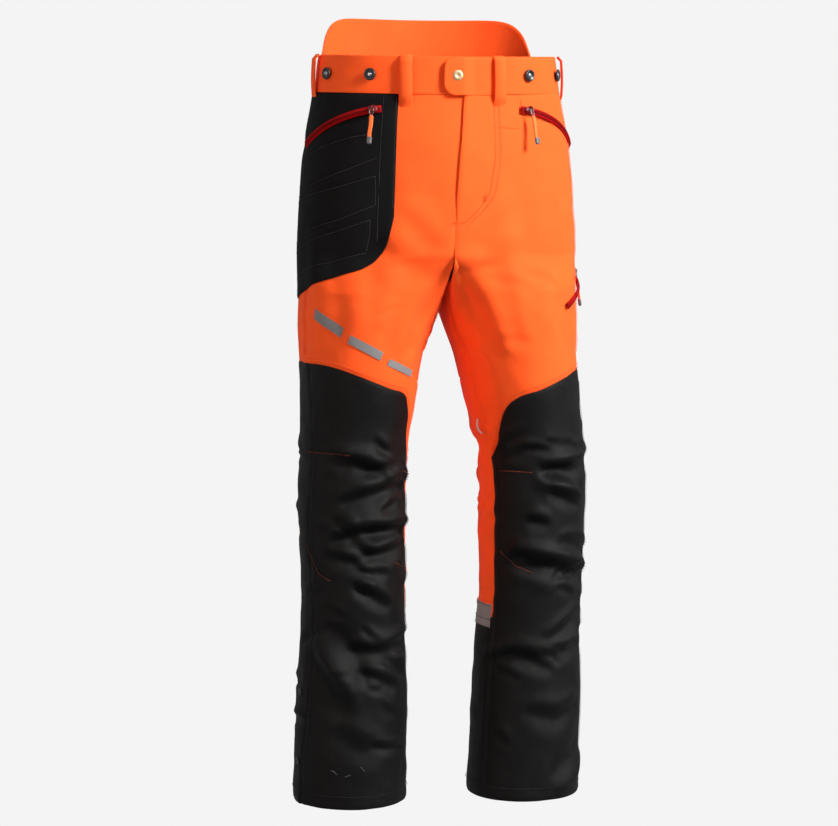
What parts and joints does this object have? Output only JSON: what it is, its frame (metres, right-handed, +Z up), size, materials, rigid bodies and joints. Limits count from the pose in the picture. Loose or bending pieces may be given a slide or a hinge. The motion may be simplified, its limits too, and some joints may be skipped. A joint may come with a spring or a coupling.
{
  "type": "chainsaw protective trousers",
  "caption": "Work trousers with front saw-cut protection, black knee and shin cover, zip pockets, raised back, belt loops and brace buttons, hung empty.",
  "frame": {"origin": "centre of the waistband ring, half way up the band", "axes": "+Z up the trousers, -Y out of the front, +X to the wearer's left"},
  "size_m": [0.4251, 0.2725, 1.12],
  "materials": {
    "shell_orange": "woven stretch polyamide, matte",
    "shell_black": "hard-wearing woven, matte",
    "waistband_orange": "folded woven band, matte",
    "raise_orange": "folded woven panel, matte",
    "quilted_black": "quilted woven, satin",
    "lining_mesh": "knitted mesh",
    "pocket_lining": "light woven",
    "protective_pack": "layered loose fibre",
    "reflective_tape": "retroreflective tape",
    "zip_red": "spiral zip on woven tape",
    "zip_metal": "dark plated",
    "pull_orange": "woven cord",
    "snap_brass": "satin",
    "button_metal": "black lacquer"
  },
  "bodies": {
    "waist": {"waistband_right": "waistband_orange", "waistband_left": "waistband_orange", "waistband_back": "waistband_orange", "back_raise_panel": "raise_orange", "hip_front_right": "shell_orange", "hip_front_left": "shell_orange", "seat_right": "shell_orange", "seat_left": "shell_orange", "hip_flex_right": "shell_orange", "hip_flex_left": "shell_orange", "hip_lining_right": "lining_mesh", "hip_lining_left": "lining_mesh", "fly_flap": "shell_orange", "fly_shield": "shell_orange", "fly_zip": "zip_red", "snap_stud": "snap_brass", "belt_loops_front": "waistband_orange", "belt_loops_back": "waistband_orange", "brace_buttons": "button_metal", "right_pocket_panel": "quilted_black", "right_pocket_bag": "pocket_lining", "left_pocket_bag": "pocket_lining", "right_pocket_zip": "zip_red", "left_pocket_zip": "zip_red"},
    "fly_slider": {"fly_zip_slider": "zip_metal", "fly_zip_pull": "zip_metal"},
    "waist_tab": {"waist_tab": "waistband_orange", "snap_cap": "snap_brass", "snap_socket": "snap_brass"},
    "right_slider": {"right_zip_slider": "zip_metal"},
    "right_pull": {"right_zip_pull": "pull_orange"},
    "left_slider": {"left_zip_slider": "zip_metal"},
    "left_pull": {"left_zip_pull": "pull_orange"},
    "thigh_slider": {"thigh_zip_slider": "zip_metal"},
    "thigh_pull": {"thigh_zip_pull": "pull_orange"},
    "right_thigh": {"thigh_front_right": "shell_orange", "thigh_back_right": "shell_orange", "knee_top_right": "shell_black", "knee_flex_front_right": "shell_black", "knee_flex_back_right": "shell_orange", "saw_pack_right": "protective_pack", "leg_lining_right": "lining_mesh"},
    "right_shin": {"shin_front_right": "shell_black", "calf_right": "shell_orange", "ankle_back_right": "shell_black", "reflective_band_right": "reflective_tape"},
    "left_thigh": {"thigh_front_left": "shell_orange", "thigh_back_left": "shell_orange", "knee_top_left": "shell_black", "knee_flex_front_left": "shell_black", "knee_flex_back_left": "shell_orange", "saw_pack_left": "protective_pack", "leg_lining_left": "lining_mesh", "thigh_pocket_bag": "pocket_lining", "thigh_pocket_zip": "zip_red"},
    "left_shin": {"shin_front_left": "shell_black", "calf_left": "shell_orange", "ankle_back_left": "shell_black", "reflective_band_left": "reflective_tape"}
  },
  "joints": [
    {"name": "right_hip", "type": "hinge", "parent": "waist", "child": "right_thigh", "pos_m": [-0.105, -0.01, -0.221], "axis": [-1, 0, 0], "range_deg": [-15, 60], "deforming": ["hip_flex_right", "hip_lining_right", "saw_pack_right", "leg_lining_right", "right_pocket_panel", "right_pocket_bag"]},
    {"name": "right_knee", "type": "hinge", "parent": "right_thigh", "child": "right_shin", "pos_m": [-0.131, 0, -0.621], "axis": [1, 0, 0], "range_deg": [0, 90], "deforming": ["knee_flex_front_right", "knee_flex_back_right", "saw_pack_right", "leg_lining_right"]},
    {"name": "left_hip", "type": "hinge", "parent": "waist", "child": "left_thigh", "pos_m": [0.105, -0.01, -0.221], "axis": [-1, 0, 0], "range_deg": [-15, 60], "deforming": ["hip_flex_left", "hip_lining_left", "saw_pack_left", "leg_lining_left", "left_pocket_bag"]},
    {"name": "left_knee", "type": "hinge", "parent": "left_thigh", "child": "left_shin", "pos_m": [0.131, 0, -0.621], "axis": [1, 0, 0], "range_deg": [0, 90], "deforming": ["knee_flex_front_left", "knee_flex_back_left", "saw_pack_left", "leg_lining_left"]},
    {"name": "fly_zip", "type": "slide", "parent": "waist", "child": "fly_slider", "axis": [0, 0.0935, 0.9956], "range_m": [-0.068, 0]},
    {"name": "waist_snap_tab", "type": "hinge", "parent": "waist", "child": "waist_tab", "pos_m": [0.02369, -0.11848, 0], "axis": [0, 0, 1], "range_deg": [0, 110]},
    {"name": "right_pocket_zip", "type": "hinge", "parent": "waist", "child": "right_slider", "pos_m": [-0.05132, 0.0073, -0.13528], "axis": [-0.1225, -0.5646, -0.8162], "range_deg": [0, 46.7]},
    {"name": "right_pocket_zip_pull", "type": "hinge", "parent": "right_slider", "child": "right_pull", "pos_m": [-0.11248, -0.10517, -0.05308], "axis": [-0.9016, 0.4326, 0], "range_deg": [0, 110]},
    {"name": "left_pocket_zip", "type": "hinge", "parent": "waist", "child": "left_slider", "pos_m": [0.05132, 0.0073, -0.13528], "axis": [-0.1225, 0.5646, 0.8162], "range_deg": [0, 46.7]},
    {"name": "left_pocket_zip_pull", "type": "hinge", "parent": "left_slider", "child": "left_pull", "pos_m": [0.11248, -0.10517, -0.05308], "axis": [-0.9016, -0.4326, 0], "range_deg": [0, 110]},
    {"name": "thigh_pocket_zip", "type": "hinge", "parent": "left_thigh", "child": "thigh_slider", "pos_m": [0.05762, 0.00676, -0.31311], "axis": [0.1639, 0.3428, -0.925], "range_deg": [0, 41.2]},
    {"name": "thigh_pocket_zip_pull", "type": "hinge", "parent": "thigh_slider", "child": "thigh_pull", "pos_m": [0.20907, 0.02128, -0.2818], "axis": [0.1165, -0.9932, 0], "range_deg": [0, 110]}
  ]
}
